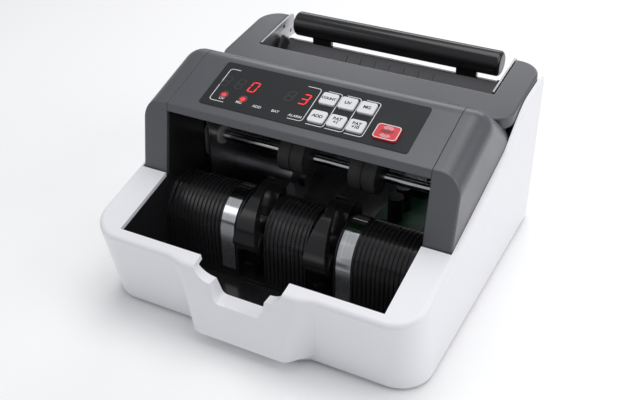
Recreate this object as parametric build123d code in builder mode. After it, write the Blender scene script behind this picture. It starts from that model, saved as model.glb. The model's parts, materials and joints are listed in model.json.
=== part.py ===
from build123d import *
import os
from math import atan, cos, degrees, hypot, radians, sin

# Banknote counting machine, millimetres.
# X runs to the machine's right seen from the front, Y to the back, Z up.
# Sub-parts are drawn from the front bottom edge of the lower housing; the
# finished pieces are moved so that the origin is the centre of the footprint.

# ---- overall sizes ----
HOUSING_HALF_WIDTH = 118.0
HOUSING_DEPTH = 225.0
HOUSING_WALL = 3.0
HOUSING_CORNER_R = 22.0
RIM_HEIGHT = 63.7          # height of the sloping rim above the front bottom edge
RIM_SLOPE = 0.24           # rise of the rim per millimetre of depth
FRONT_LEAN = 13.5          # how far the front wall leans out at the rim
REAR_HEIGHT = 120.8
RIM_EDGE_R = 3.5

POCKET_HALF_WIDTH = 95.2
POCKET_FRONT = -5.4
POST_FRONT = 50.0          # front face of the side posts at the rim
RIM_END = 49.0             # back edge of the rim plate beside the pocket
POST_LEAN = 0.17

# ---- upper shells ----
SHELL_HALF_WIDTH = 114.8
SHELL_WALL = 2.5
SHELL_EDGE_R = 14.0
SEAM = 0.3
LIP_Y = 58.7
LIP_Z = 125.5
LIP_DEPTH = 5.7
PANEL_SLOPE = 0.30
CREST_Y = 115.0
CREST_R = 18.0
HOOD_END_Y = 149.4
HOOD_END_Z = 117.0
HOOD_HALF_WIDTH = POCKET_HALF_WIDTH

# ---- hopper surround ----
SURROUND_HALF_WIDTH = 114.5
SURROUND_FRONT = 150.0
SURROUND_BACK = 228.0
SURROUND_SLOPE = 0.11
SURROUND_THICKNESS = 9.0
HOPPER_HALF_WIDTH = 93.8
HOPPER_FRONT = 179.0
HOPPER_FRONT_Z = 120.5

# ---- front bulge and finger notch ----
BULGE_HALF_TOP = 42.0
BULGE_HALF_BOTTOM = 34.0
BULGE_FRONT = -17.5
NOTCH_FLOOR = 36.0
NOTCH_HALF = 17.0
NOTCH_HALF_TOP = 19.7
NOTCH_SIDE_TOP = 50.5
NOTCH_ROUND = 12.3

# ---- control panel ----
LABEL_WIDTH = 151.0
LABEL_LENGTH = 42.3
LABEL_START = 7.1
LABEL_THICKNESS = 0.4
BUTTON_WIDTH = 11.4
BUTTON_LENGTH = 10.6
BUTTON_PITCH = 13.7
BUTTON_FIRST_X = 9.5
BUTTON_ROW_LOW = 18.5
BUTTON_ROW_HIGH = 35.6
BUTTON_GAP = 0.35
BUTTON_TOP = 1.5
BUTTON_TRAVEL = 0.8
RESTART_WIDTH = 16.6
RESTART_LENGTH = 13.0
RESTART_X = 57.8
RESTART_V = 19.3
BOARD_DEPTH = 12.5         # control board's top below the panel face
BOARD_THICKNESS = 1.6
LED_FIRST_X = -61.2
LED_PITCH = 13.8
LED_COUNT = 5
LED_V = 18.6
LED_R = 1.5
DISPLAY_V = 31.1
DISPLAY_LENGTH = 14.0
COUNT_DISPLAY_WIDTH = 34.0
COUNT_DISPLAY_X = -56.0
BATCH_DISPLAY_WIDTH = 26.0
BATCH_DISPLAY_X = -14.4

# ---- stacker ----
STACKER_Y = 68.0
STACKER_Z = 42.0
WHEEL_R = 32.5
WHEEL_HUB_R = 12.0
WHEEL_WIDTH = 17.0
WHEEL_X = 26.5
FINGER_COUNT = 3
BED_R = 24.0
BED_WALL = 2.5
BED_SLOT_HALF = 10.4
RIB_PITCH = 3.2
RIB_GROOVE = 0.9
RIB_DEPTH = 0.8
STRIP_WIDTH = 10.5
STRIP_X = 44.3

# ---- frames and shafts ----
FRAME_X = 92.2
FRAME_THICKNESS = 1.4
FRAME_FRONT = 100.0
SHAFT_R = 4.0
SHAFT_FIT = 0.05
BUSH_R = 6.0
TRANSPORT_Y = 118.0
TRANSPORT_Z = 72.0
TRANSPORT_R = 14.0
FEED_Y = 170.0
FEED_Z = 70.0
FEED_R = 16.0
PINCH_R = 7.0
PINCH_SHAFT_R = 3.0
ROLLER_X = 28.0
ROLLER_WIDTH = 20.0
RUNNING_GAP = 0.3
MOTOR_Y = 150.0
MOTOR_Z = 31.0
MOTOR_R = 20.0
MOTOR_LENGTH = 52.0
MOTOR_SHAFT_R = 2.5
BELT_WIDTH = 4.4
BELT_THICKNESS = 1.2

# ---- hopper floor ----
TABLE_LOW_Y = 184.0
TABLE_LOW_Z = 81.0
TABLE_HIGH_Y = 216.5
TABLE_HIGH_Z = 110.0
TABLE_THICKNESS = 2.5
TABLE_HALF_WIDTH = 91.6
GUIDE_TRAVEL = 30.0
GUIDE_X = 89.0
BAR_R = 9.5
BAR_HALF_LENGTH = 85.0
BAR_Y = 224.5
BAR_Z = 121.5

# ---- base and back ----
BASE_Z = 1.0
BASE_THICKNESS = 1.5
FOOT_HEIGHT = 2.5          # how far the feet stand below the housing
FOOT_R = 8.0
COVER_LOW = 20.0
COVER_HIGH = 108.0
COVER_Y = 222.0
COVER_THICKNESS = 2.5
ORIGIN_Y = (BAR_Y + BAR_R + BULGE_FRONT) / 2   # middle of the overall depth

BASE_TOP = BASE_Z + BASE_THICKNESS
SEAT = 0.3                 # gap left between two pieces that rest on each other
PANEL_TILT = atan(PANEL_SLOPE)
PANEL = Plane(
    origin=(0, LIP_Y, LIP_Z),
    x_dir=(1, 0, 0),
    z_dir=(0, -sin(PANEL_TILT), cos(PANEL_TILT)),
)
SURROUND_TILT = atan(SURROUND_SLOPE)
SURROUND_PLANE = Plane(
    origin=(0, HOPPER_FRONT, HOPPER_FRONT_Z),
    x_dir=(1, 0, 0),
    z_dir=(0, -sin(SURROUND_TILT), cos(SURROUND_TILT)),
)
PANEL_NORMAL = Axis(PANEL.origin, PANEL.z_dir)
SURROUND_NORMAL = Axis(SURROUND_PLANE.origin, SURROUND_PLANE.z_dir)
TABLE_TILT = atan((TABLE_HIGH_Z - TABLE_LOW_Z) / (TABLE_HIGH_Y - TABLE_LOW_Y))
TABLE_RUN = hypot(TABLE_HIGH_Y - TABLE_LOW_Y, TABLE_HIGH_Z - TABLE_LOW_Z)
TABLE_PLANE = Plane(
    origin=(0, TABLE_LOW_Y, TABLE_LOW_Z),
    x_dir=(1, 0, 0),
    z_dir=(0, -sin(TABLE_TILT), cos(TABLE_TILT)),
)

pieces = {}


def keep(name, part):
    """Move a finished piece to the footprint origin and keep it for export."""
    pieces[name] = part.moved(Location((0, -ORIGIN_Y, FOOT_HEIGHT)))


def rim(y):
    """Height of the rim's top face at depth y."""
    return RIM_HEIGHT + RIM_SLOPE * y


def crest_z():
    """Height of the sharp crest before it is rounded."""
    return LIP_Z + PANEL_SLOPE * (CREST_Y - LIP_Y)


def at_side(x):
    """Side plane at x, with local axes Y and Z."""
    return Plane.YZ.offset(x)


def rod(y, z, radius, x_low, x_high, bore=0.0):
    """Round bar or tube along X."""
    with BuildPart() as body:
        with BuildSketch(at_side(x_low)):
            with Locations((y, z)):
                Circle(radius)
                if bore:
                    Circle(bore, mode=Mode.SUBTRACT)
        extrude(amount=x_high - x_low)
    return body.part


def box(x_low, x_high, y_low, y_high, z_low, z_high):
    """Plain block between two corners."""
    with BuildPart() as body:
        with BuildSketch(Plane.XY.offset(z_low)):
            with Locations(((x_low + x_high) / 2, (y_low + y_high) / 2)):
                Rectangle(x_high - x_low, y_high - y_low)
        extrude(amount=z_high - z_low)
    return body.part


def group(solids):
    """Several separate solids as one piece of the assembly."""
    return Compound(children=solids)


def other_side(part):
    """The same piece on the machine's other side."""
    return mirror(part, about=Plane.YZ)


# ---------------------------------------------------------------- housing
def bulge_section(z, half_face, half_foot, face_y, foot_y):
    """Plan of the front bulge at height z."""
    with BuildSketch(Plane.XY.offset(z)) as section:
        with BuildLine():
            Polyline(
                (-half_foot, foot_y),
                (-half_face, face_y),
                (half_face, face_y),
                (half_foot, foot_y),
                (half_foot, 2.0),
                (-half_foot, 2.0),
                close=True,
            )
        make_face()
    return section.sketch


def front_bulge():
    """Upright pad in the middle of the leaning front wall."""
    with BuildPart() as pad:
        add(bulge_section(7.0, BULGE_HALF_BOTTOM, 47.0, BULGE_FRONT, -1.6))
        add(bulge_section(66.0, BULGE_HALF_TOP, 55.0, BULGE_FRONT + 2.0, -14.6))
        loft(ruled=True)
        uprights = pad.edges().filter_by(lambda e: abs(e.center().Z - 36.5) < 3)
        fillet(uprights.group_by(Axis.Y)[0], radius=9)
    with BuildPart() as sill:
        add(bulge_section(0.0, BULGE_HALF_BOTTOM - 2, 44.0, -6.0, 0.3))
        add(bulge_section(7.0, BULGE_HALF_BOTTOM, 47.0, BULGE_FRONT, -1.6))
        loft(ruled=True)
        uprights = sill.edges().filter_by(lambda e: abs(e.center().Z - 3.5) < 1)
        fillet(uprights.group_by(Axis.Y)[0], radius=9)
    with BuildPart() as body:
        add(pad.part)
        add(sill.part)
    return body.part


def notch_cut():
    """Finger notch through the front rim."""
    with BuildPart() as cut:
        with BuildSketch(Plane.XZ.offset(2.0)):
            with BuildLine():
                Line((-NOTCH_HALF, NOTCH_FLOOR), (NOTCH_HALF, NOTCH_FLOOR))
                Line((NOTCH_HALF, NOTCH_FLOOR), (NOTCH_HALF_TOP, NOTCH_SIDE_TOP))
                RadiusArc(
                    (NOTCH_HALF_TOP, NOTCH_SIDE_TOP),
                    (NOTCH_HALF_TOP + NOTCH_ROUND, NOTCH_SIDE_TOP + NOTCH_ROUND),
                    -NOTCH_ROUND,
                )
                Polyline(
                    (NOTCH_HALF_TOP + NOTCH_ROUND, NOTCH_SIDE_TOP + NOTCH_ROUND),
                    (NOTCH_HALF_TOP + NOTCH_ROUND, 80),
                    (-NOTCH_HALF_TOP - NOTCH_ROUND, 80),
                    (-NOTCH_HALF_TOP - NOTCH_ROUND, NOTCH_SIDE_TOP + NOTCH_ROUND),
                )
                RadiusArc(
                    (-NOTCH_HALF_TOP - NOTCH_ROUND, NOTCH_SIDE_TOP + NOTCH_ROUND),
                    (-NOTCH_HALF_TOP, NOTCH_SIDE_TOP),
                    -NOTCH_ROUND,
                )
                Line((-NOTCH_HALF_TOP, NOTCH_SIDE_TOP), (-NOTCH_HALF, NOTCH_FLOOR))
            make_face()
        extrude(amount=30)
        corners = cut.edges().filter_by(Axis.Y)
        fillet(corners.group_by(Axis.Z)[0], radius=4)
    return cut.part


def housing_cavity():
    """Inside of the lower housing, open below and behind the rim plate."""
    with BuildPart() as cavity:
        with BuildSketch(at_side(-HOUSING_HALF_WIDTH + HOUSING_WALL)):
            Polygon(
                (3.3, -1),
                (-9.9, 58.2),
                (RIM_END, rim(RIM_END) - HOUSING_WALL),
                (RIM_END, 140),
                (HOUSING_DEPTH - HOUSING_WALL, 140),
                (HOUSING_DEPTH - HOUSING_WALL, -1),
                align=None,
            )
        extrude(amount=2 * (HOUSING_HALF_WIDTH - HOUSING_WALL))
        corners = cavity.edges().filter_by(lambda e: -5 < e.center().Y < -2 and abs(e.center().X) > 100)
        fillet(corners, radius=HOUSING_CORNER_R - HOUSING_WALL)
    return cavity.part


with BuildPart() as housing:
    with BuildSketch(at_side(-HOUSING_HALF_WIDTH)):
        with BuildLine():
            Polyline((0, 0), (-FRONT_LEAN, rim(-FRONT_LEAN)), (140, rim(140)))
            Spline(
                (140, rim(140)),
                (156, 105.6),
                (172, 114.6),
                (190, 119.3),
                tangents=((1, RIM_SLOPE), (1, 0.05)),
            )
            Polyline(
                (190, 119.3),
                (HOUSING_DEPTH - 4, REAR_HEIGHT),
                (HOUSING_DEPTH, REAR_HEIGHT - 4),
                (HOUSING_DEPTH, 0),
                (0, 0),
            )
        make_face()
    extrude(amount=2 * HOUSING_HALF_WIDTH)
    front_edges = housing.edges().filter_by(
        lambda e: e.center().Y < 0 and abs(e.center().X) > HOUSING_HALF_WIDTH - 1 and 20 < e.center().Z < 40
    )
    fillet(front_edges, radius=HOUSING_CORNER_R)
    rear_edges = housing.edges().filter_by(
        lambda e: e.center().Y > HOUSING_DEPTH - 1
        and abs(e.center().X) > HOUSING_HALF_WIDTH - 1
        and 40 < e.center().Z < 80
    )
    fillet(rear_edges, radius=5)
    add(front_bulge())
    with BuildSketch(Plane((0, 0, RIM_HEIGHT), x_dir=(1, 0, 0), z_dir=(0, -RIM_SLOPE, 1))) as trim:
        with Locations((0, -20)):
            Rectangle(140, 56)
    extrude(amount=12, mode=Mode.SUBTRACT)
    rim_edges = housing.edges().filter_by(
        lambda e: e.center().Y < -4 and abs(e.center().Z - rim(e.center().Y)) < 0.6
    )
    fillet(rim_edges, radius=RIM_EDGE_R)

    add(housing_cavity(), mode=Mode.SUBTRACT)
    with BuildSketch(Plane.XY.offset(45)):
        with Locations((0, (POCKET_FRONT + POST_FRONT) / 2)):
            Rectangle(2 * POCKET_HALF_WIDTH, POST_FRONT - POCKET_FRONT)
    extrude(amount=60, mode=Mode.SUBTRACT)
    with BuildSketch(Plane.XY.offset(10)):
        with Locations((0, -6.3)):
            Rectangle(60, 15.4)
    extrude(amount=22.5, mode=Mode.SUBTRACT)
    add(notch_cut(), mode=Mode.SUBTRACT)
    with BuildSketch(Plane.XY.offset(COVER_LOW)):
        with Locations((0, HOUSING_DEPTH)):
            Rectangle(2 * HOPPER_HALF_WIDTH, 20)
    extrude(amount=120, mode=Mode.SUBTRACT)
    with BuildSketch(Plane.XY.offset(HOPPER_FRONT_Z - SURROUND_THICKNESS + 4)):
        with Locations((0, HOUSING_DEPTH)):
            Rectangle(2 * (HOUSING_HALF_WIDTH - HOUSING_WALL), 12)
    extrude(amount=40, mode=Mode.SUBTRACT)
    with BuildSketch(Plane.XY.offset(BASE_TOP + SEAT)):
        with Locations((-109.5, 30), (109.5, 30), (-109.5, 120), (109.5, 120), (-109.5, 210), (109.5, 210)):
            Circle(5.8)
            Circle(1.7, mode=Mode.SUBTRACT)
    extrude(amount=12)

keep("lower_housing", housing.part)

BOSSES = [(x, y) for x in (-109.5, 109.5) for y in (30, 120, 210)]

with BuildPart() as base_plate:
    with BuildSketch(Plane.XY.offset(BASE_Z)):
        with Locations((0, 112.7)):
            RectangleRounded(2 * (HOUSING_HALF_WIDTH - HOUSING_WALL) - 1, 217.6, HOUSING_CORNER_R - 2)
        with Locations(*BOSSES):
            Circle(1.9, mode=Mode.SUBTRACT)
        with Locations((40, 150)):
            with GridLocations(0, 9, 1, 6):
                SlotOverall(50, 4, mode=Mode.SUBTRACT)
    extrude(amount=BASE_THICKNESS)

keep("base_plate", base_plate.part)


def pan_screw(x, y, z_head, length, radius=1.5, up=True):
    """Pan-head screw standing on its head at z_head, thread towards +Z or -Z."""
    sign = 1 if up else -1
    with BuildPart() as screw:
        with BuildSketch(Plane((x, y, z_head), x_dir=(1, 0, 0), z_dir=(0, 0, sign))):
            Circle(radius * 1.9)
        extrude(amount=1.6)
        with BuildSketch(Plane((x, y, z_head), x_dir=(1, 0, 0), z_dir=(0, 0, sign))):
            Rectangle(radius * 2.4, 0.7)
            Rectangle(0.7, radius * 2.4)
        extrude(amount=0.8, mode=Mode.SUBTRACT)
        with BuildSketch(Plane((x, y, z_head + sign * 1.6), x_dir=(1, 0, 0), z_dir=(0, 0, sign))):
            Circle(radius)
        extrude(amount=length)
    return screw.part


keep("base_screws", group([pan_screw(x, y, BASE_Z - 1.6, 9) for x, y in BOSSES]))

feet = []
for foot_x in (-94, 94):
    for foot_y in (22, 200):
        with BuildPart() as foot:
            with BuildSketch(Plane((foot_x, foot_y, -FOOT_HEIGHT))):
                Circle(FOOT_R)
            extrude(amount=FOOT_HEIGHT + BASE_Z)
            chamfer(foot.edges().group_by(Axis.Z)[0], length=0.8)
        feet.append(foot.part)

keep("rubber_feet", group(feet))


# ----------------------------------------------------------- upper shells
def post_y(z):
    """Depth of the leaning front face at height z."""
    return LIP_Y - POST_LEAN * (LIP_Z - z)


def side_points(drop):
    """Side shell outline, its lower edge let down by drop."""
    low = rim(POST_FRONT) - 3.2 - drop
    return [
        (post_y(low), low),
        (LIP_Y, LIP_Z),
        (CREST_Y, crest_z()),
        (SURROUND_FRONT, HOOD_END_Z - 0.4),
        (SURROUND_FRONT, 107.6),
        (168, 109.5),
        (168, 104 - drop),
        (154, 98 - drop),
        (140, rim(140) - 5 - drop),
    ]


def side_solid(drop, inset, x_low):
    """Solid side block with rounded crest and rounded outer top edge."""
    fall = (HOOD_END_Z - 0.4 - crest_z()) / (SURROUND_FRONT - CREST_Y)
    with BuildPart() as block:
        with BuildSketch(at_side(x_low)) as outline:
            Polygon(
                (post_y(40), 40),
                (LIP_Y, LIP_Z),
                (CREST_Y, crest_z()),
                (175, crest_z() + fall * (175 - CREST_Y)),
                (175, 40),
                align=None,
            )
            fillet(outline.vertices().group_by(Axis.Y)[-1], radius=CREST_R)
            if inset:
                offset(amount=-inset, kind=Kind.INTERSECTION, mode=Mode.REPLACE)
        extrude(amount=SHELL_HALF_WIDTH - inset - x_low)
        outer = block.edges().group_by(Axis.X)[-1]
        roof = outer.filter_by(lambda e: e.center().Z > 101 and LIP_Y + 2 < e.center().Y < 172)
        fillet(roof, radius=SHELL_EDGE_R - inset)
        with BuildSketch(at_side(x_low)):
            Polygon(*side_points(drop), align=None)
            if inset:
                offset(amount=-inset, kind=Kind.INTERSECTION, mode=Mode.REPLACE)
        extrude(amount=SHELL_HALF_WIDTH - x_low, mode=Mode.INTERSECT)
    return block.part


with BuildPart() as side_shell:
    add(side_solid(0, 0, HOOD_HALF_WIDTH + SEAM))
    front_rim = side_shell.faces().filter_by(lambda f: f.normal_at().Y < -0.9).edges()
    front_rim = front_rim.filter_by(lambda e: e.center().X > HOOD_HALF_WIDTH + 1 and e.center().Z > 75)
    fillet(front_rim, radius=2)
    add(side_solid(6, SHELL_WALL, HOOD_HALF_WIDTH - 3), mode=Mode.SUBTRACT)

keep("side_shell_right", side_shell.part)
keep("side_shell_left", other_side(side_shell.part))

BUTTONS = {
    "button_count": (BUTTON_FIRST_X, BUTTON_ROW_HIGH),
    "button_uv": (BUTTON_FIRST_X + BUTTON_PITCH, BUTTON_ROW_HIGH),
    "button_mg": (BUTTON_FIRST_X + 2 * BUTTON_PITCH, BUTTON_ROW_HIGH),
    "button_add": (BUTTON_FIRST_X, BUTTON_ROW_LOW),
    "button_batch_one": (BUTTON_FIRST_X + BUTTON_PITCH, BUTTON_ROW_LOW),
    "button_batch_ten": (BUTTON_FIRST_X + 2 * BUTTON_PITCH, BUTTON_ROW_LOW),
}
LED_SPOTS = [(LED_FIRST_X + i * LED_PITCH, LED_V) for i in range(LED_COUNT)]
BOARD_POSTS = [(x, v) for x in (-71, 71) for v in (12, 44)]


def button_holes(gap):
    """Draw the openings that the buttons pass through in the open sketch."""
    with Locations(*BUTTONS.values()):
        RectangleRounded(BUTTON_WIDTH + 2 * gap, BUTTON_LENGTH + 2 * gap, 2)
    with Locations((RESTART_X, RESTART_V)):
        RectangleRounded(RESTART_WIDTH + 2 * gap, RESTART_LENGTH + 2 * gap, 2.6)


with BuildPart() as hood:
    with BuildSketch(at_side(-HOOD_HALF_WIDTH)) as outline:
        lip_low = LIP_Z - LIP_DEPTH
        Polygon(
            (post_y(90), 90),
            (LIP_Y, LIP_Z),
            (CREST_Y, crest_z()),
            (HOOD_END_Y, HOOD_END_Z),
            (HOOD_END_Y, 90),
            align=None,
        )
        fillet(outline.vertices().group_by(Axis.Y)[-1], radius=CREST_R)
        offset(amount=-SHELL_WALL, kind=Kind.INTERSECTION, mode=Mode.SUBTRACT)
        Polygon(
            (40, lip_low),
            (100, lip_low),
            (HOOD_END_Y - 4, 111.5),
            (160, 111.5),
            (160, 80),
            (40, 80),
            align=None,
            mode=Mode.SUBTRACT,
        )
    extrude(amount=2 * HOOD_HALF_WIDTH)
    lip_edge = hood.edges().filter_by(Axis.X)
    lip_edge = lip_edge.filter_by(lambda e: abs(e.center().Y - LIP_Y) < 0.1 and abs(e.center().Z - LIP_Z) < 0.1)
    fillet(lip_edge, radius=1.5)
    with BuildSketch(PANEL.offset(-BOARD_DEPTH + 0.1)):
        with Locations(*BOARD_POSTS):
            Circle(3)
    extrude(amount=BOARD_DEPTH - SHELL_WALL)
    with BuildSketch(PANEL):
        button_holes(BUTTON_GAP)
        with Locations((COUNT_DISPLAY_X, DISPLAY_V)):
            Rectangle(COUNT_DISPLAY_WIDTH + 0.6, DISPLAY_LENGTH + 0.6)
        with Locations((BATCH_DISPLAY_X, DISPLAY_V)):
            Rectangle(BATCH_DISPLAY_WIDTH + 0.6, DISPLAY_LENGTH + 0.6)
        with Locations(*LED_SPOTS):
            Circle(LED_R + SEAT)
    extrude(amount=SHELL_WALL + 1, both=True, mode=Mode.SUBTRACT)

keep("hood", hood.part)

with BuildPart() as label:
    with BuildSketch(PANEL):
        with Locations((0.7, LABEL_START + LABEL_LENGTH / 2)):
            RectangleRounded(LABEL_WIDTH, LABEL_LENGTH, 2)
    extrude(amount=LABEL_THICKNESS)
    with BuildSketch(PANEL):
        button_holes(BUTTON_GAP)
    extrude(amount=LABEL_THICKNESS, mode=Mode.SUBTRACT)

keep("control_label", label.part)


def push_button(x, v, width, length, corner):
    """Key cap with a hidden flange and a stem down to its switch."""
    with BuildPart() as button:
        with BuildSketch(PANEL.offset(-4.4)):
            with Locations((x, v)):
                RectangleRounded(width + 1.6, length + 1.6, corner)
        extrude(amount=1.5)
        with BuildSketch(PANEL.offset(-3.5)):
            with Locations((x, v)):
                RectangleRounded(width, length, corner)
        extrude(amount=3.5 + LABEL_THICKNESS + BUTTON_TOP)
        fillet(button.faces().sort_by(PANEL_NORMAL)[-1].edges(), radius=0.5)
        with BuildSketch(PANEL.offset(-7.0)):
            with Locations((x, v)):
                Rectangle(4, 4)
        extrude(amount=3)
    return button.part


for name, (button_x, button_v) in BUTTONS.items():
    keep(name, push_button(button_x, button_v, BUTTON_WIDTH, BUTTON_LENGTH, 1.7))
keep("button_restart", push_button(RESTART_X, RESTART_V, RESTART_WIDTH, RESTART_LENGTH, 2.3))

with BuildPart() as control_board:
    with BuildSketch(PANEL.offset(-BOARD_DEPTH - BOARD_THICKNESS)):
        with Locations((0, 28)):
            RectangleRounded(150, 40, 2)
    extrude(amount=BOARD_THICKNESS)

keep("control_board", control_board.part)

switches = []
for switch_x, switch_v in list(BUTTONS.values()) + [(RESTART_X, RESTART_V)]:
    with BuildPart() as tact_switch:
        with BuildSketch(PANEL.offset(-BOARD_DEPTH)):
            with Locations((switch_x, switch_v)):
                RectangleRounded(6, 6, 0.5)
        extrude(amount=3.5)
        with BuildSketch(PANEL.offset(-BOARD_DEPTH + 3.4)):
            with Locations((switch_x, switch_v)):
                Circle(1.7)
        extrude(amount=1.2)
    switches.append(tact_switch.part)

keep("tact_switches", group(switches))


def display(x, width):
    """Seven-segment display module standing on the control board."""
    with BuildPart() as module:
        with BuildSketch(PANEL.offset(-BOARD_DEPTH)):
            with Locations((x, DISPLAY_V)):
                Rectangle(width, DISPLAY_LENGTH)
        extrude(amount=BOARD_DEPTH - SEAT)
    return module.part


keep("count_display", display(COUNT_DISPLAY_X, COUNT_DISPLAY_WIDTH))
keep("batch_display", display(BATCH_DISPLAY_X, BATCH_DISPLAY_WIDTH))

leds = []
for led_x, led_v in LED_SPOTS:
    with BuildPart() as led:
        with BuildSketch(PANEL.offset(-BOARD_DEPTH)):
            with Locations((led_x, led_v)):
                Circle(LED_R)
        extrude(amount=BOARD_DEPTH - SEAT)
        fillet(led.faces().sort_by(PANEL_NORMAL)[-1].edges(), radius=1.0)
    leds.append(led.part)

keep("status_leds", group(leds))

# --------------------------------------------------------- hopper surround
with BuildPart() as surround:
    with BuildSketch(SURROUND_PLANE.offset(-SURROUND_THICKNESS)) as outline:
        front_v = (SURROUND_FRONT - HOPPER_FRONT) / cos(SURROUND_TILT)
        back_v = (SURROUND_BACK - HOPPER_FRONT) / cos(SURROUND_TILT)
        with Locations((0, (front_v + back_v) / 2)):
            Rectangle(2 * SURROUND_HALF_WIDTH, back_v - front_v)
        fillet(outline.vertices().group_by(Axis.Y)[0], radius=14)
        fillet(outline.vertices().group_by(Axis.Y)[-1], radius=17)
        with Locations((0, back_v / 2 + 5)):
            Rectangle(2 * HOPPER_HALF_WIDTH, back_v + 10, mode=Mode.SUBTRACT)
    extrude(amount=SURROUND_THICKNESS)
    top_edges = surround.faces().sort_by(SURROUND_NORMAL)[-1].edges()
    fillet(top_edges, radius=1.5)
    with BuildSketch(at_side(-FRAME_X + 0.6)):
        Polygon((176, 113), (178.9, 113), (174.8, 92), (172.8, 92), align=None)
    extrude(amount=2 * FRAME_X - 1.2)

keep("hopper_surround", surround.part)

# ------------------------------------------------------------ note pocket
def pocket_side():
    """Black inner side of the note pocket, also the bearing wall of the stacker."""
    with BuildPart() as panel:
        with BuildSketch(at_side(POCKET_HALF_WIDTH)):
            Polygon(
                (3.8, BASE_TOP + SEAT),
                (3.8, 8),
                (-4.5, 40),
                (-5.0, rim(-5) - 3.5),
                (POST_FRONT - 1.2, rim(POST_FRONT) - 3.5),
                (POST_FRONT + 2.6, rim(POST_FRONT) - 3.5),
                (post_y(78) + 3, 78),
                (post_y(117) + 3, 117),
                (FRAME_FRONT - 1, 117),
                (FRAME_FRONT - 1, BASE_TOP + SEAT),
                align=None,
            )
            with Locations((STACKER_Y, STACKER_Z)):
                Circle(BUSH_R + 0.02, mode=Mode.SUBTRACT)
        extrude(amount=3)
        with BuildSketch(at_side(POCKET_HALF_WIDTH)):
            Polygon((39.0, 33), (39.6, 33), (50.6, 71), (50.0, 71), align=None)
        extrude(amount=0.6, mode=Mode.SUBTRACT)
    return panel.part


right_pocket_side = pocket_side()
keep("pocket_side_right", right_pocket_side)
keep("pocket_side_left", other_side(right_pocket_side))

INNER_HALF = POCKET_HALF_WIDTH - SEAT


def bed_band(inner, outer, low, end):
    """Side profile of the stacker bed between two radii about the wheel axis."""
    start = Vector(STACKER_Y - outer, STACKER_Z)
    with BuildSketch(Plane.YZ) as band:
        with BuildLine():
            l1 = Line((STACKER_Y - outer, low), start)
            l2 = CenterArc((STACKER_Y, STACKER_Z), outer, 180, -(180 - end))
            l3 = Line(l2 @ 1, l2 @ 1 + Vector(-cos(radians(end)), -sin(radians(end))) * (outer - inner))
            l4 = CenterArc((STACKER_Y, STACKER_Z), inner, end, 180 - end)
            l5 = Line(l4 @ 1, (STACKER_Y - inner, low))
            Line(l5 @ 1, (STACKER_Y - outer, low))
        make_face()
    return band.sketch_local


BED_SPANS = [
    (-INNER_HALF, -WHEEL_X - BED_SLOT_HALF),
    (-WHEEL_X + BED_SLOT_HALF, WHEEL_X - BED_SLOT_HALF),
    (WHEEL_X + BED_SLOT_HALF, INNER_HALF),
]

with BuildPart() as bed:
    for span_low, span_high in BED_SPANS:
        with BuildSketch(at_side(span_low)):
            add(bed_band(BED_R - BED_WALL, BED_R, BASE_TOP + SEAT, 40))
        extrude(amount=span_high - span_low)
    add(box(-INNER_HALF, INNER_HALF, 3.9, STACKER_Y - BED_R + 1, BASE_TOP + SEAT, 5.3))
    add(box(-INNER_HALF, INNER_HALF, STACKER_Y - BED_R, 92, 5.0, 8.4))
    add(box(-INNER_HALF, INNER_HALF, 89.5, 92, BASE_TOP + SEAT, 8.5))
    for span_low, span_high in BED_SPANS:
        ribs = int((span_high - span_low) / RIB_PITCH)
        first = (span_low + span_high) / 2 - (ribs - 1) * RIB_PITCH / 2
        for rib in range(ribs):
            groove_x = first + rib * RIB_PITCH - RIB_GROOVE / 2
            with BuildSketch(at_side(groove_x)):
                add(bed_band(BED_R - RIB_DEPTH, BED_R + 1, 10, 44))
            extrude(amount=RIB_GROOVE, mode=Mode.SUBTRACT)

keep("stacker_bed", bed.part)


def bed_strip(x):
    """Polished strip bent over the bed beside a wheel."""
    with BuildPart() as strip:
        with BuildSketch(at_side(x - STRIP_WIDTH / 2)):
            add(bed_band(BED_R, BED_R + 0.5, 14, 48))
        extrude(amount=STRIP_WIDTH)
    return strip.part


keep("bed_strips", group([bed_strip(-STRIP_X), bed_strip(STRIP_X)]))


# --------------------------------------------------------- stacker wheels
def finger_solid():
    """One curved finger of a stacker wheel, drawn about the X axis."""
    def polar(radius, angle):
        return (radius * cos(radians(angle)), radius * sin(radians(angle)))

    tip = polar(WHEEL_R, 86)
    tip_inner = polar(WHEEL_R - 1.4, 88)
    shoulder = polar(WHEEL_R, 174)
    root = polar(WHEEL_HUB_R - 1, 190)
    with BuildPart() as finger:
        with BuildSketch(at_side(-WHEEL_WIDTH / 2)):
            with BuildLine():
                ThreePointArc(tip, polar(WHEEL_R, 130), shoulder)
                Spline(shoulder, polar(26, 200), polar(WHEEL_HUB_R - 1, 232))
                Line(polar(WHEEL_HUB_R - 1, 232), root)
                Spline(root, polar(21, 160), polar(26.5, 128), polar(29.6, 106), tip_inner)
                Line(tip_inner, tip)
            make_face()
        extrude(amount=WHEEL_WIDTH)
    return finger.part, tip, shoulder


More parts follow.
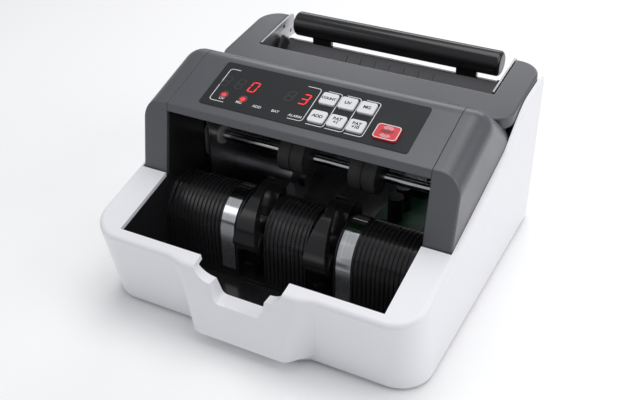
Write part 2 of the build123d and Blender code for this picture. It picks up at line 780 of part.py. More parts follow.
def stacker_wheel():
    """Wheel with curved fingers that narrow towards their tips."""
    finger, tip, shoulder = finger_solid()
    half = WHEEL_WIDTH / 2
    length = hypot(shoulder[0] - tip[0], shoulder[1] - tip[1])
    along = Vector(0, (shoulder[0] - tip[0]) / length, (shoulder[1] - tip[1]) / length)
    blade = Plane((0, tip[0], tip[1]), x_dir=(1, 0, 0), z_dir=Vector(1, 0, 0).cross(along))
    with BuildPart() as tapered:
        add(finger)
        with BuildSketch(blade.offset(-18)):
            Polygon((1.6, -4), (1.6, 0), (half, length), (half + 3, length), (half + 3, -4), align=None)
            Polygon((-1.6, -4), (-1.6, 0), (-half, length), (-half - 3, length), (-half - 3, -4), align=None)
        extrude(amount=24, mode=Mode.SUBTRACT)
    with BuildPart() as wheel:
        for number in range(FINGER_COUNT):
            add(tapered.part.rotate(Axis.X, 360 / FINGER_COUNT * number))
        with BuildSketch(at_side(-half)):
            Circle(WHEEL_HUB_R)
        extrude(amount=WHEEL_WIDTH)
        with BuildSketch(at_side(-half - 1)):
            Circle(SHAFT_R + 0.02)
        extrude(amount=WHEEL_WIDTH + 2, mode=Mode.SUBTRACT)
    return wheel.part


wheel_part = stacker_wheel()
keep("stacker_wheel_left", wheel_part.moved(Location((-WHEEL_X, STACKER_Y, STACKER_Z))))
keep("stacker_wheel_right", wheel_part.moved(Location((WHEEL_X, STACKER_Y, STACKER_Z))))


# -------------------------------------------------- frames, shafts, rollers
PINCH_Z = TRANSPORT_Z + TRANSPORT_R + RUNNING_GAP + PINCH_R
PINCH_BUSH_R = 4.5
CROSS_BAR_SPOTS = [(110, 20), (212, 20), (200, 58)]


def side_frame():
    """Steel side plate that carries the rollers and the hopper."""
    with BuildPart() as frame:
        with BuildSketch(at_side(FRAME_X)):
            Polygon(
                (FRAME_FRONT, BASE_TOP + SEAT),
                (COVER_Y - SEAT, BASE_TOP + SEAT),
                (COVER_Y - SEAT, COVER_HIGH + SEAT),
                (232, COVER_HIGH + SEAT),
                (232, 124.3),
                (229, 126.2),
                (HOPPER_FRONT + 1.5, 121.0),
                (HOPPER_FRONT + 1.5, 106.5),
                (FRAME_FRONT, 106.5),
                align=None,
            )
            with Locations((TRANSPORT_Y, TRANSPORT_Z), (FEED_Y, FEED_Z)):
                Circle(BUSH_R + 0.02, mode=Mode.SUBTRACT)
            with Locations((TRANSPORT_Y, PINCH_Z)):
                Circle(PINCH_BUSH_R + 0.02, mode=Mode.SUBTRACT)
            with Locations((MOTOR_Y, MOTOR_Z)):
                Circle(7, mode=Mode.SUBTRACT)
            with Locations((215, 120.7), (225.5, 113.5)):
                Circle(1.6, mode=Mode.SUBTRACT)
            with Locations(*CROSS_BAR_SPOTS):
                Circle(2.2, mode=Mode.SUBTRACT)
        extrude(amount=FRAME_THICKNESS)
    return frame.part


right_frame = side_frame()
keep("frame_right", right_frame)
keep("frame_left", other_side(right_frame))


def cross_bar(y, z):
    """Spacer bar between the frames, with a turned-down end in each plate."""
    with BuildPart() as bar:
        add(rod(y, z, 4, -FRAME_X + 0.02, FRAME_X - 0.02))
        add(rod(y, z, 2.15, -FRAME_X - 3, FRAME_X + 3))
    return bar.part


keep("cross_bars", group([cross_bar(y, z) for y, z in CROSS_BAR_SPOTS]))


def bush(y, z, outer, bore, x_wall, wall):
    """Flanged bush in a plate, its flange on the inner side."""
    with BuildPart() as body:
        add(rod(y, z, outer, x_wall - 0.02, x_wall + wall + 1.2, bore))
        add(rod(y, z, outer + 1.6, x_wall - 1.3, x_wall - 0.02, bore))
    return body.part


bushes = [
    bush(STACKER_Y, STACKER_Z, BUSH_R, SHAFT_R + SHAFT_FIT, POCKET_HALF_WIDTH, 3),
    bush(TRANSPORT_Y, TRANSPORT_Z, BUSH_R, SHAFT_R + SHAFT_FIT, FRAME_X, FRAME_THICKNESS),
    bush(FEED_Y, FEED_Z, BUSH_R, SHAFT_R + SHAFT_FIT, FRAME_X, FRAME_THICKNESS),
    bush(TRANSPORT_Y, PINCH_Z, PINCH_BUSH_R, PINCH_SHAFT_R + SHAFT_FIT, FRAME_X, FRAME_THICKNESS),
]
keep("shaft_bushes", group(bushes + [other_side(item) for item in bushes]))

SHAFT_LEFT = -111.5
SHAFT_RIGHT = 108.0
keep("stacker_shaft", rod(STACKER_Y, STACKER_Z, SHAFT_R, -POCKET_HALF_WIDTH - 6, SHAFT_RIGHT))
keep("transport_shaft", rod(TRANSPORT_Y, TRANSPORT_Z, SHAFT_R, SHAFT_LEFT, SHAFT_RIGHT))
keep("feed_shaft", rod(FEED_Y, FEED_Z, SHAFT_R, SHAFT_LEFT, FRAME_X + 4))


def rollers(y, z, radius, bore, width):
    """Pair of grooved rollers on one shaft."""
    pair = []
    for x in (-ROLLER_X, ROLLER_X):
        with BuildPart() as roller:
            add(rod(y, z, radius, x - width / 2, x + width / 2, bore + 0.02))
            with BuildSketch(at_side(x - 0.75)):
                with Locations((y, z)):
                    Circle(radius + 1)
                    Circle(radius - 0.8, mode=Mode.SUBTRACT)
            extrude(amount=1.5, mode=Mode.SUBTRACT)
        pair.append(roller.part)
    return group(pair)


keep("transport_rollers", rollers(TRANSPORT_Y, TRANSPORT_Z, TRANSPORT_R, SHAFT_R, ROLLER_WIDTH))
keep("feed_rollers", rollers(FEED_Y, FEED_Z, FEED_R, SHAFT_R, ROLLER_WIDTH))

with BuildPart() as pinch:
    add(rod(TRANSPORT_Y, PINCH_Z, PINCH_SHAFT_R, -FRAME_X - 4, FRAME_X + 4))
    for pinch_x in (-ROLLER_X, ROLLER_X):
        add(rod(TRANSPORT_Y, PINCH_Z, PINCH_R, pinch_x - 8, pinch_x + 8))

keep("pinch_roller_shaft", pinch.part)


def pulley(y, z, radius, bore, x_low):
    """Flanged belt pulley, its flat BELT_WIDTH plus running room."""
    width = BELT_WIDTH + 2 * RUNNING_GAP
    with BuildPart() as body:
        add(rod(y, z, radius, x_low, x_low + width, bore))
        add(rod(y, z, radius + 2.2, x_low - 0.9, x_low, bore))
        add(rod(y, z, radius + 2.2, x_low + width, x_low + width + 0.9, bore))
    return body.part


def belt(first, first_r, second, second_r, x_low):
    """Flat belt round two pulleys, with a running gap to both."""
    with BuildPart() as loop:
        with BuildSketch(at_side(x_low + RUNNING_GAP)):
            for skin, mode in ((BELT_THICKNESS, Mode.ADD), (0, Mode.SUBTRACT)):
                with BuildSketch(mode=Mode.PRIVATE) as ends:
                    with Locations(first):
                        Circle(first_r + RUNNING_GAP + skin)
                    with Locations(second):
                        Circle(second_r + RUNNING_GAP + skin)
                make_hull(ends.sketch.edges(), mode=mode)
        extrude(amount=BELT_WIDTH)
    return loop.part


TRANSPORT = (TRANSPORT_Y, TRANSPORT_Z)
STACKER = (STACKER_Y, STACKER_Z)
FEED = (FEED_Y, FEED_Z)
MOTOR = (MOTOR_Y, MOTOR_Z)
MOTOR_PULLEY_R = 8.0
DRIVEN_PULLEY_R = 16.0
STACKER_DRIVE_R = 9.0
STACKER_PULLEY_R = 18.0
FEED_DRIVE_R = 10.0
FEED_PULLEY_R = 15.0
MOTOR_BELT_X = -102.5
FEED_BELT_X = -109.8
STACKER_BELT_X = 101.0
BORE = SHAFT_R + 0.02

keep(
    "transport_pulleys",
    group(
        [
            pulley(*TRANSPORT, DRIVEN_PULLEY_R, BORE, MOTOR_BELT_X),
            pulley(*TRANSPORT, FEED_DRIVE_R, BORE, FEED_BELT_X),
            pulley(*TRANSPORT, STACKER_DRIVE_R, BORE, STACKER_BELT_X),
        ]
    ),
)
keep("stacker_pulley", pulley(*STACKER, STACKER_PULLEY_R, BORE, STACKER_BELT_X))
keep("feed_pulley", pulley(*FEED, FEED_PULLEY_R, BORE, FEED_BELT_X))
keep("motor_pulley", pulley(*MOTOR, MOTOR_PULLEY_R, MOTOR_SHAFT_R + 0.02, MOTOR_BELT_X))
keep("belt_motor", belt(MOTOR, MOTOR_PULLEY_R, TRANSPORT, DRIVEN_PULLEY_R, MOTOR_BELT_X))
keep("belt_feed", belt(FEED, FEED_PULLEY_R, TRANSPORT, FEED_DRIVE_R, FEED_BELT_X))
keep("belt_stacker", belt(STACKER, STACKER_PULLEY_R, TRANSPORT, STACKER_DRIVE_R, STACKER_BELT_X))

with BuildPart() as motor:
    add(rod(*MOTOR, MOTOR_R, -FRAME_X + 0.1, -FRAME_X + MOTOR_LENGTH))
    chamfer(motor.edges().group_by(Axis.X)[-1], length=2)
    add(rod(*MOTOR, 8, -FRAME_X + MOTOR_LENGTH, -FRAME_X + MOTOR_LENGTH + 4))
    with BuildSketch(at_side(-FRAME_X)):
        with Locations(MOTOR):
            Circle(MOTOR_SHAFT_R + SHAFT_FIT)
    extrude(amount=30, mode=Mode.SUBTRACT)

keep("motor_body", motor.part)
keep("motor_shaft", rod(*MOTOR, MOTOR_SHAFT_R, MOTOR_BELT_X - 1.5, -FRAME_X + 28))


# ------------------------------------------------------------- hopper floor
GUIDE_SLOT_V = TABLE_RUN * 0.62
with BuildPart() as feed_table:
    with BuildSketch(TABLE_PLANE.offset(-TABLE_THICKNESS)):
        with Locations((0, TABLE_RUN / 2)):
            Rectangle(2 * TABLE_HALF_WIDTH, TABLE_RUN)
        with Locations((-ROLLER_X, 0), (ROLLER_X, 0)):
            Rectangle(ROLLER_WIDTH + 4, 16, mode=Mode.SUBTRACT)
        with Locations((-72, GUIDE_SLOT_V), (72, GUIDE_SLOT_V)):
            Rectangle(36, 4.4, mode=Mode.SUBTRACT)
    extrude(amount=TABLE_THICKNESS)
    with BuildSketch(TABLE_PLANE):
        with Locations((0, TABLE_RUN * 0.62)):
            with GridLocations(12, 1, 7, 1):
                Rectangle(1.6, TABLE_RUN * 0.6)
    extrude(amount=0.8)

keep("feed_table", feed_table.part)


def note_guide():
    """Sliding side guide with a foot through the slot of the hopper floor."""
    with BuildPart() as guide:
        with BuildSketch(TABLE_PLANE.offset(0.3)):
            with Locations((GUIDE_X - 0.4, TABLE_RUN * 0.55)):
                Rectangle(2.4, TABLE_RUN * 0.8)
        extrude(amount=11)
        with BuildSketch(TABLE_PLANE.offset(0.3)):
            with Locations((GUIDE_X - 3, GUIDE_SLOT_V)):
                Rectangle(7, 12)
        extrude(amount=2)
        with BuildSketch(TABLE_PLANE.offset(-TABLE_THICKNESS - 2)):
            with Locations((GUIDE_X - 3, GUIDE_SLOT_V)):
                Rectangle(5, 3.6)
        extrude(amount=TABLE_THICKNESS + 3)
        with BuildSketch(TABLE_PLANE.offset(-TABLE_THICKNESS - 2)):
            with Locations((GUIDE_X - 3, GUIDE_SLOT_V)):
                Rectangle(5, 8)
        extrude(amount=1.7)
    return guide.part


right_guide = note_guide()
keep("note_guide_right", right_guide)
keep("note_guide_left", other_side(right_guide))

RETARD_Y = 163.0
pads = []
for pad_x in (-ROLLER_X, ROLLER_X):
    with BuildPart() as pad:
        add(box(pad_x - 8, pad_x + 8, RETARD_Y - 5, RETARD_Y + 6, FEED_Z + 9, 97))
        add(rod(*FEED, FEED_R + 0.5, pad_x - 9, pad_x + 9), mode=Mode.SUBTRACT)
    pads.append(pad.part)
keep("retard_pads", group(pads))

with BuildPart() as detector_head:
    add(box(-FRAME_X + SEAT, FRAME_X - SEAT, 130, 150, 88, 103))
    add(box(-FRAME_X + SEAT, FRAME_X - SEAT, 149, RETARD_Y + 6, 97.2, 103))

keep("detector_head", detector_head.part)

with BuildPart() as rest_bar:
    add(rod(BAR_Y, BAR_Z, BAR_R, -BAR_HALF_LENGTH, BAR_HALF_LENGTH))
    fillet(rest_bar.edges(), radius=3)
    for lug_x in (-60, 60):
        add(box(lug_x - 8, lug_x + 8, 218.2, 221.6, 98, 118))

keep("rest_bar", rest_bar.part)

# ------------------------------------------------------------ back and power
KNOB_X = 0.0
KNOB_Z = 92.0
INLET_X = -62.0
INLET_Z = 46.0
SWITCH_X = -62.0
SWITCH_Z = 70.0
COVER_SCREWS = [(x, z) for x in (-86, 86) for z in (28, 100)]
BACK = Plane((0, COVER_Y + COVER_THICKNESS, 0), x_dir=(-1, 0, 0), z_dir=(0, 1, 0))

with BuildPart() as rear_cover:
    with BuildSketch(BACK.offset(-COVER_THICKNESS)):
        with Locations((0, (COVER_LOW + COVER_HIGH) / 2)):
            RectangleRounded(2 * HOPPER_HALF_WIDTH - 0.8, COVER_HIGH - COVER_LOW - 0.8, 2)
        with Locations((-KNOB_X, KNOB_Z)):
            Circle(4.3, mode=Mode.SUBTRACT)
        with Locations((-INLET_X, INLET_Z)):
            Rectangle(28, 20.6, mode=Mode.SUBTRACT)
        with Locations((-SWITCH_X, SWITCH_Z)):
            Rectangle(15, 21, mode=Mode.SUBTRACT)
        with Locations((-30, 52)):
            with GridLocations(1, 6, 1, 8):
                SlotOverall(60, 3, mode=Mode.SUBTRACT)
        with Locations(*[(-x, z) for x, z in COVER_SCREWS]):
            Circle(1.7, mode=Mode.SUBTRACT)
    extrude(amount=COVER_THICKNESS)

keep("rear_cover", rear_cover.part)

cover_screws = []
for screw_x, screw_z in COVER_SCREWS:
    with BuildPart() as cover_screw:
        with BuildSketch(BACK.offset(SEAT / 3)):
            with Locations((-screw_x, screw_z)):
                Circle(2.9)
        extrude(amount=1.6)
        with BuildSketch(BACK.offset(1.0)):
            with Locations((-screw_x, screw_z)):
                Rectangle(3.4, 0.7)
                Rectangle(0.7, 3.4)
        extrude(amount=2, mode=Mode.SUBTRACT)
        with BuildSketch(BACK.offset(-7)):
            with Locations((-screw_x, screw_z)):
                Circle(1.5)
        extrude(amount=7.2)
    cover_screws.append(cover_screw.part)
keep("cover_screws", group(cover_screws))

with BuildPart() as knob:
    with BuildSketch(BACK.offset(0.4)):
        with Locations((-KNOB_X, KNOB_Z)):
            Circle(9)
    extrude(amount=6)
    with BuildSketch(BACK.offset(0.4)):
        with Locations((-KNOB_X, KNOB_Z)):
            with PolarLocations(9.4, 18):
                Circle(0.9)
    extrude(amount=6, mode=Mode.SUBTRACT)
    with BuildSketch(BACK.offset(5.6)):
        with Locations((-KNOB_X, KNOB_Z + 4.5)):
            Rectangle(1.2, 6)
    extrude(amount=2, mode=Mode.SUBTRACT)
    with BuildSketch(BACK.offset(-9)):
        with Locations((-KNOB_X, KNOB_Z)):
            Circle(3.95)
    extrude(amount=9.4)

keep("adjust_knob", knob.part)

with BuildPart() as inlet:
    with BuildSketch(BACK.offset(-16)):
        with Locations((-INLET_X, INLET_Z)):
            RectangleRounded(27.4, 20, 3)
    extrude(amount=16)
    with BuildSketch(BACK.offset(0)):
        with Locations((-INLET_X, INLET_Z)):
            RectangleRounded(33, 25, 3)
    extrude(amount=2)
    with BuildSketch(BACK.offset(-13)):
        with Locations((-INLET_X, INLET_Z)):
            RectangleRounded(22, 15, 3)
    extrude(amount=16, mode=Mode.SUBTRACT)
    with BuildSketch(BACK.offset(-13.1)):
        with Locations((-INLET_X, INLET_Z)):
            with Locations((0, 1.5), (-7, -2), (7, -2)):
                Rectangle(2, 4)
    extrude(amount=10)

    with BuildSketch(BACK.offset(-10)):
        with Locations((-SWITCH_X, SWITCH_Z)):
            Rectangle(14.4, 20.4)
    extrude(amount=10)
    with BuildSketch(BACK):
        with Locations((-SWITCH_X, SWITCH_Z - 4)):
            RectangleRounded(18, 30, 2)
    extrude(amount=2)
    with BuildSketch(BACK.offset(-8.5)):
        with Locations((-SWITCH_X, SWITCH_Z)):
            Rectangle(11, 18)
    extrude(amount=12, mode=Mode.SUBTRACT)

keep("power_inlet", inlet.part)

ROCKER_PIVOT_Y = COVER_Y + COVER_THICKNESS - 0.8
with BuildPart() as rocker:
    with BuildSketch(at_side(SWITCH_X - 5.1)) as side:
        with Locations((ROCKER_PIVOT_Y, SWITCH_Z)):
            Circle(2.4)
        Polygon(
            (ROCKER_PIVOT_Y + 0.4, SWITCH_Z - 7.7),
            (ROCKER_PIVOT_Y + 2.2, SWITCH_Z - 7.7),
            (ROCKER_PIVOT_Y + 2.2, SWITCH_Z),
            (ROCKER_PIVOT_Y + 4.1, SWITCH_Z + 7.7),
            (ROCKER_PIVOT_Y + 2.2, SWITCH_Z + 7.7),
            (ROCKER_PIVOT_Y - 1, SWITCH_Z),
            align=None,
        )
    extrude(amount=10.2)

keep("switch_rocker", rocker.part)

with BuildPart() as main_board:
    with BuildSketch(Plane.XY.offset(9)):
        with Locations((52, 158)):
            RectangleRounded(66, 92, 2)
    extrude(amount=1.6)
    with BuildSketch(Plane.XY.offset(BASE_TOP + SEAT)):
        with Locations((52, 158)):
            with GridLocations(58, 84, 2, 2):
                Circle(2.5)
    extrude(amount=6.3)

keep("main_board", main_board.part)

parts = []
for spot_x, spot_y, size_x, size_y, size_z in (
    (34, 196, 18, 12, 15),
    (66, 190, 24, 5, 22),
    (66, 150, 14, 28, 3),
    (36, 128, 12, 22, 9),
    (66, 122, 20, 8, 11),
):
    parts.append(
        box(
            spot_x - size_x / 2,
            spot_x + size_x / 2,
            spot_y - size_y / 2,
            spot_y + size_y / 2,
            10.6,
            10.6 + size_z,
        )
    )
for cap_x, cap_y in ((34, 172), (34, 156)):
    with BuildPart() as capacitor:
        with BuildSketch(Plane.XY.offset(10.6)):
            with Locations((cap_x, cap_y)):
                Circle(6)
        extrude(amount=20)
    parts.append(capacitor.part)
keep("board_components", group(parts))

os.makedirs("parts", exist_ok=True)
for name, part in pieces.items():
    part.label = name
    export_step(part, f"parts/{name}.step")
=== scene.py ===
import json
import math

import bmesh
import bpy
from mathutils import Matrix, Vector


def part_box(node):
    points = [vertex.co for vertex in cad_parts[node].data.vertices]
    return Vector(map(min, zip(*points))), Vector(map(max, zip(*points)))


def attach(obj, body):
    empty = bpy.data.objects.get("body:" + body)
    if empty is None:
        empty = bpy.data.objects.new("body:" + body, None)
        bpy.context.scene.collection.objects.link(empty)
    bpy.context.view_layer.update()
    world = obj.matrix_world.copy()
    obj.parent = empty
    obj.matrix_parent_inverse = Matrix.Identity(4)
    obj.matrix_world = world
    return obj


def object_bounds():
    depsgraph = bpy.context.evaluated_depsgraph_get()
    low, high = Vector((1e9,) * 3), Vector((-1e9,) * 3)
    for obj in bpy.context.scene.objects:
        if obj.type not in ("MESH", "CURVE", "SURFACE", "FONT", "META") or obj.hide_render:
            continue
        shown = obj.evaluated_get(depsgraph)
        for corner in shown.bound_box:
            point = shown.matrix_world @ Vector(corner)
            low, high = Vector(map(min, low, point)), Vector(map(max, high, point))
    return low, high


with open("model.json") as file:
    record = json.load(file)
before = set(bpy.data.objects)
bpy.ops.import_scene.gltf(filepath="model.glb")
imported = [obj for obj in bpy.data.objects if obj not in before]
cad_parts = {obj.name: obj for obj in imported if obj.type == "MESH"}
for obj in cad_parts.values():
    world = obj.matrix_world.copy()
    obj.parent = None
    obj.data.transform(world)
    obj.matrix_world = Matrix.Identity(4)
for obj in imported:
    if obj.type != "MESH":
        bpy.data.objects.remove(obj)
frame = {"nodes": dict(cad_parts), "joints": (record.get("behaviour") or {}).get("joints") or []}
cad_low, cad_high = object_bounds()
nodes = frame["nodes"]
scene = bpy.context.scene
MM = 0.001


# ---------------------------------------------------------------- materials
class Shader:
    """One Principled material with small helpers for its node tree."""

    def __init__(self, name, rough=0.5, metallic=0.0, **sockets):
        self.material = bpy.data.materials.new(name)
        self.material.use_nodes = True
        self.tree = self.material.node_tree
        self.main = self.tree.nodes["Principled BSDF"]
        self.coords = self.node("ShaderNodeTexCoord").outputs["Object"]
        self.put(self.main, "Roughness", rough)
        self.put(self.main, "Metallic", metallic)
        for key, value in sockets.items():
            self.put(self.main, key.replace("_", " "), value)

    def put(self, node, socket, value):
        node.inputs[socket].default_value = value

    def node(self, kind, **settings):
        made = self.tree.nodes.new(kind)
        for key, value in settings.items():
            setattr(made, key, value)
        return made

    def link(self, source, target):
        self.tree.links.new(source, target)

    def stretched(self, scale):
        mapping = self.node("ShaderNodeMapping")
        self.put(mapping, "Scale", scale)
        self.link(self.coords, mapping.inputs["Vector"])
        return mapping.outputs["Vector"]

    def noise(self, scale, detail=3.0, vector=None):
        made = self.node("ShaderNodeTexNoise")
        self.put(made, "Scale", scale)
        self.put(made, "Detail", detail)
        self.link(vector or self.coords, made.inputs["Vector"])
        return made.outputs["Fac"]

    def spread(self, value, low, high, start=0.3, end=0.7):
        made = self.node("ShaderNodeMapRange")
        self.put(made, "From Min", start)
        self.put(made, "From Max", end)
        self.put(made, "To Min", low)
        self.put(made, "To Max", high)
        self.link(value, made.inputs["Value"])
        return made.outputs["Result"]

    def blend(self, factor, first, second):
        """Colour between first and second, as factor goes from 0 to 1."""
        made = self.node("ShaderNodeMix", data_type="RGBA")
        for socket, value in ((made.inputs[6], first), (made.inputs[7], second)):
            if hasattr(value, "is_linked"):
                self.link(value, socket)
            else:
                socket.default_value = (*value, 1.0)
        self.link(factor, made.inputs[0])
        return made.outputs[2]

    def colour(self, value):
        self.link(value, self.main.inputs["Base Color"])

    def roughness(self, value):
        self.link(value, self.main.inputs["Roughness"])

    def bump(self, *layers, edge=0.0):
        """Stacks (height, distance in metres, strength) layers over edges softened by a radius."""
        below = None
        if edge:
            soft = self.node("ShaderNodeBevel", samples=4)
            self.put(soft, "Radius", edge)
            below = soft.outputs["Normal"]
        for height, distance, strength in layers:
            made = self.node("ShaderNodeBump")
            self.put(made, "Distance", distance)
            self.put(made, "Strength", strength)
            self.link(height, made.inputs["Height"])
            if below:
                self.link(below, made.inputs["Normal"])
            below = made.outputs["Normal"]
        self.link(below, self.main.inputs["Normal"])


def moulded(name, light, dark, rough, grain=900, depth=0.00006, wave=0.03, edge=0.0):
    """Injection moulded plastic: clouded colour, uneven gloss, fine grain, a slow waviness, soft edges."""
    s = Shader(name, rough)
    clouds = s.spread(s.noise(9, 2), 0, 1)
    specks = s.spread(s.noise(1500, 2), 0, 0.3, 0.55, 0.75)
    s.colour(s.blend(specks, s.blend(clouds, light, dark), dark))
    s.roughness(s.spread(s.noise(26, 3), rough - 0.03, rough + 0.04))
    s.bump((s.noise(20, 1), 0.0005, wave), (s.noise(grain, 2), depth, 0.4), edge=edge)
    return s.material


def sheet_metal(name, light, dark, rough, along=(4, 900, 900)):
    """Rolled or ground metal with fine scratches along one direction."""
    s = Shader(name, rough, metallic=1.0)
    lines = s.noise(1, 3, s.stretched(along))
    s.colour(s.blend(s.spread(lines, 0, 1), light, dark))
    smears = s.noise(18, 4)
    s.roughness(s.spread(smears, rough - 0.06, rough + 0.1))
    s.bump((lines, 0.00002, 0.35))
    return s.material


def rubber(name, light, dark, rough):
    """Matt rubber with dusty patches."""
    s = Shader(name, rough)
    dust = s.spread(s.noise(60, 6), 0, 1, 0.45, 0.75)
    s.colour(s.blend(dust, dark, light))
    s.roughness(s.spread(s.noise(200, 3), rough - 0.08, rough + 0.05))
    s.bump((s.noise(1500, 2), 0.00005, 0.6))
    return s.material


def printed_film(name, ink, grain_ink):
    """Matt polyester film over the keys' panel."""
    s = Shader(name, 0.5, Specular_IOR_Level=0.25)
    s.colour(s.blend(s.spread(s.noise(1400, 2), 0, 1), ink, grain_ink))
    s.roughness(s.spread(s.noise(40, 4), 0.46, 0.58))
    s.bump((s.noise(2200, 1), 0.00003, 0.4))
    return s.material


def lit(name, core, strength, base=(0.03, 0.004, 0.005)):
    """Glowing segment or lamp with a slight grain in its light."""
    s = Shader(name, 0.35)
    grain = s.spread(s.noise(900, 2), 0, 1)
    s.colour(s.blend(grain, base, tuple(c * 1.5 for c in base)))
    glow = s.blend(grain, core, tuple(min(1.0, c * 1.2 + 0.01) for c in core))
    s.link(glow, s.main.inputs["Emission Color"])
    s.put(s.main, "Emission Strength", strength)
    return s.material


def halo(name, ink, core, strength, reach):
    """Film lit from behind: red light that fades from the piece's own origin."""
    s = Shader(name, 0.42)
    s.colour(s.blend(s.spread(s.noise(1400, 2), 0, 1), ink, tuple(c * 1.3 for c in ink)))
    fade = s.node("ShaderNodeTexGradient", gradient_type="QUADRATIC_SPHERE")
    s.link(s.stretched((1 / reach, 1 / reach, 1 / reach)), fade.inputs["Vector"])
    glow = s.blend(fade.outputs["Fac"], (0, 0, 0), core)
    s.link(glow, s.main.inputs["Emission Color"])
    s.put(s.main, "Emission Strength", strength)
    return s.material


def circuit_board(name):
    """Green solder mask with raised tracks."""
    s = Shader(name, 0.38)
    tracks = s.node("ShaderNodeTexBrick")
    s.put(tracks, "Scale", 120.0)
    s.put(tracks, "Mortar Size", 0.012)
    s.put(tracks, "Color1", (0.012, 0.085, 0.035, 1))
    s.put(tracks, "Color2", (0.016, 0.1, 0.04, 1))
    s.put(tracks, "Mortar", (0.03, 0.17, 0.07, 1))
    s.link(s.coords, tracks.inputs["Vector"])
    s.colour(tracks.outputs["Color"])
    s.bump((tracks.outputs["Fac"], 0.00004, 0.5))
    return s.material


def ink(name, light, dark, rough=0.5):
    """Screen printed ink with a fine mottle."""
    s = Shader(name, rough)
    s.colour(s.blend(s.spread(s.noise(1200, 2), 0, 1), light, dark))
    s.roughness(s.spread(s.noise(300, 2), rough - 0.06, rough + 0.06))
    return s.material


FILM = (0.011, 0.0125, 0.015)
WHITE = moulded("white_shell", (0.83, 0.83, 0.86), (0.824, 0.824, 0.854), 0.32, 600, 0.000002, 0.001)
GRAPHITE = moulded("graphite_shell", (0.092, 0.094, 0.104), (0.078, 0.080, 0.089), 0.30, 1300, edge=0.0008)
BLACK = moulded("black_plastic", (0.016, 0.016, 0.018), (0.010, 0.010, 0.011), 0.30, 1000, edge=0.0005)
BLACK_GLOSS = moulded(
    "black_gloss", (0.016, 0.016, 0.017), (0.010, 0.010, 0.011), 0.17, 500, 0.00002, edge=0.0004,
)
RIBBED = moulded("ribbed_black", (0.022, 0.022, 0.024), (0.012, 0.012, 0.013), 0.24, 900, edge=0.0005)
TABLE_GREY = moulded("table_grey", (0.085, 0.082, 0.090), (0.068, 0.066, 0.074), 0.42, 1100)
KEY_WHITE = moulded("key_white", (0.72, 0.73, 0.75), (0.66, 0.67, 0.69), 0.38, 1200)
KEY_RED = moulded("key_red", (0.66, 0.024, 0.040), (0.60, 0.02, 0.034), 0.36, 1200)
ACETAL = moulded("acetal", (0.62, 0.61, 0.57), (0.55, 0.54, 0.50), 0.4, 1000)
FILM_BLACK = printed_film("panel_film", FILM, (0.015, 0.017, 0.020))
PLATE = sheet_metal("rolled_plate", (0.60, 0.60, 0.61), (0.42, 0.42, 0.44), 0.3, (900, 6, 900))
BRIGHT = sheet_metal("ground_bar", (0.78, 0.78, 0.80), (0.62, 0.62, 0.64), 0.14)
STRIP = sheet_metal("polished_strip", (0.86, 0.87, 0.88), (0.72, 0.73, 0.75), 0.12, (900, 9, 9))
ZINC = sheet_metal("zinc_can", (0.34, 0.34, 0.36), (0.25, 0.25, 0.27), 0.34)
RUBBER_BLACK = rubber("rubber_black", (0.035, 0.035, 0.035), (0.014, 0.014, 0.014), 0.72)
RUBBER_GREY = rubber("rubber_grey", (0.10, 0.10, 0.10), (0.06, 0.06, 0.06), 0.66)
BOARD = circuit_board("solder_mask")
COMPONENT = moulded("component_black", (0.02, 0.02, 0.022), (0.012, 0.012, 0.014), 0.3)
WINDOW = moulded("display_window", (0.05, 0.005, 0.006), (0.035, 0.004, 0.005), 0.12)
LENS = moulded("led_lens", (0.40, 0.015, 0.02), (0.30, 0.01, 0.015), 0.16)
WHITE_INK = ink("white_ink", (0.72, 0.72, 0.73), (0.64, 0.64, 0.65))
DARK_INK = ink("dark_ink", (0.012, 0.012, 0.013), (0.018, 0.018, 0.020))
SEGMENT = lit("lit_segment", (1.0, 0.012, 0.010), 1.5)
LAMP = lit("lit_lamp", (1.0, 0.02, 0.015), 1.7)

FINISHES = {
    WHITE: ("lower_housing",),
    GRAPHITE: ("hood", "side_shell_left", "side_shell_right", "hopper_surround", "rear_cover"),
    BLACK: (
        "pocket_side_left", "pocket_side_right", "power_inlet", "tact_switches", "adjust_knob",
        "note_guide_left", "note_guide_right", "detector_head",
    ),
    BLACK_GLOSS: ("stacker_wheel_left", "stacker_wheel_right", "switch_rocker", "rest_bar"),
    RIBBED: ("stacker_bed",),
    TABLE_GREY: ("feed_table",),
    KEY_WHITE: (
        "button_count", "button_uv", "button_mg", "button_add", "button_batch_one", "button_batch_ten",
    ),
    KEY_RED: ("button_restart",),
    FILM_BLACK: ("control_label",),
    ACETAL: ("shaft_bushes", "stacker_pulley", "feed_pulley", "transport_pulleys", "motor_pulley"),
    PLATE: ("frame_left", "frame_right", "base_plate", "cross_bars"),
    BRIGHT: (
        "stacker_shaft", "transport_shaft", "feed_shaft", "pinch_roller_shaft", "motor_shaft",
        "base_screws", "cover_screws",
    ),
    STRIP: ("bed_strips",),
    ZINC: ("motor_body",),
    RUBBER_BLACK: ("rubber_feet", "belt_motor", "belt_feed", "belt_stacker"),
    RUBBER_GREY: ("transport_rollers", "feed_rollers", "retard_pads"),
    BOARD: ("control_board", "main_board"),
    COMPONENT: ("board_components",),
    WINDOW: ("count_display", "batch_display"),
    LENS: ("status_leds",),
}


def finish_nodes():
    """Gives every CAD node its finish."""
    for material, names in FINISHES.items():
        for name in names:
            mesh = nodes[name].data
            mesh.materials.clear()
            mesh.materials.append(material)


finish_nodes()


# ------------------------------------------------------------ panel pieces
label_low, label_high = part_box("control_label")
FILM_THICKNESS = 0.4 * MM
PRESS = next(j for j in frame["joints"] if j["name"] == "button_count_press")
PANEL_UP = -Vector(PRESS["axis"]).normalized()
PANEL_ACROSS = Vector((1, 0, 0))
PANEL_ALONG = PANEL_UP.cross(PANEL_ACROSS).normalized()
PANEL_START = Vector((0, label_low.y, label_low.z + FILM_THICKNESS * PANEL_UP.z))


